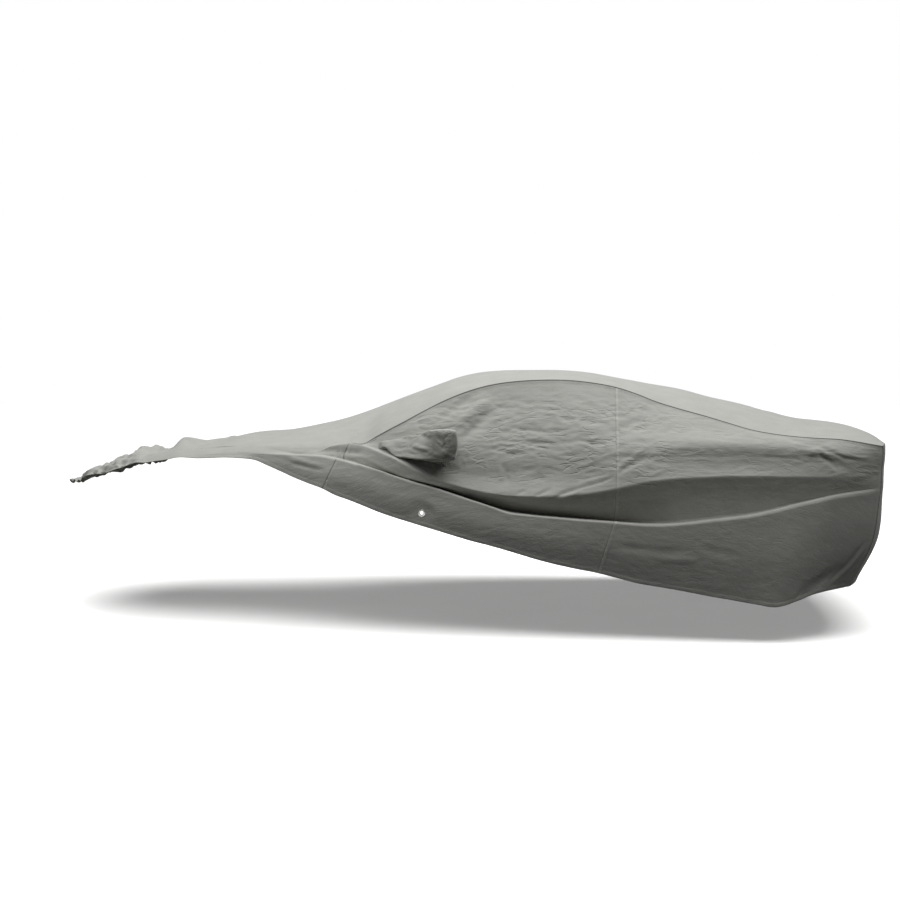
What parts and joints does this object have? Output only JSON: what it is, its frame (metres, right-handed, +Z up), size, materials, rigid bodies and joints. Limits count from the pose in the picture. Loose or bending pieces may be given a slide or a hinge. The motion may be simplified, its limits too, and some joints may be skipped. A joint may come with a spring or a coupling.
{
  "type": "car cover",
  "caption": "Fitted cloth car cover, draped as over a low coupe: open underneath, gathered up at the front, with side seams, mirror pockets and metal eyelets in the lower flap.",
  "frame": {"origin": "underside of the cloth at the highest point of the roof, on the middle line", "axes": "+X towards the tail, +Y to the right side, +Z up; the floor lies 1.256 m below the origin"},
  "size_m": [4.2615, 2.012, 1.0849],
  "materials": {
    "cover_cloth": "soft matte layered non-woven cloth, warm light grey",
    "eyelet_metal": "plain bright nickel-plated metal"
  },
  "bodies": {
    "root": {"top_panel": "cover_cloth", "tail_panel": "cover_cloth", "door_panel_left": "cover_cloth", "door_panel_right": "cover_cloth", "hem_strip_left": "cover_cloth", "hem_strip_right": "cover_cloth", "quarter_panel_left": "cover_cloth", "quarter_panel_right": "cover_cloth", "mirror_pocket_left": "cover_cloth", "mirror_pocket_right": "cover_cloth", "eyelet_left": "eyelet_metal", "eyelet_right": "eyelet_metal"}
  },
  "joints": []
}
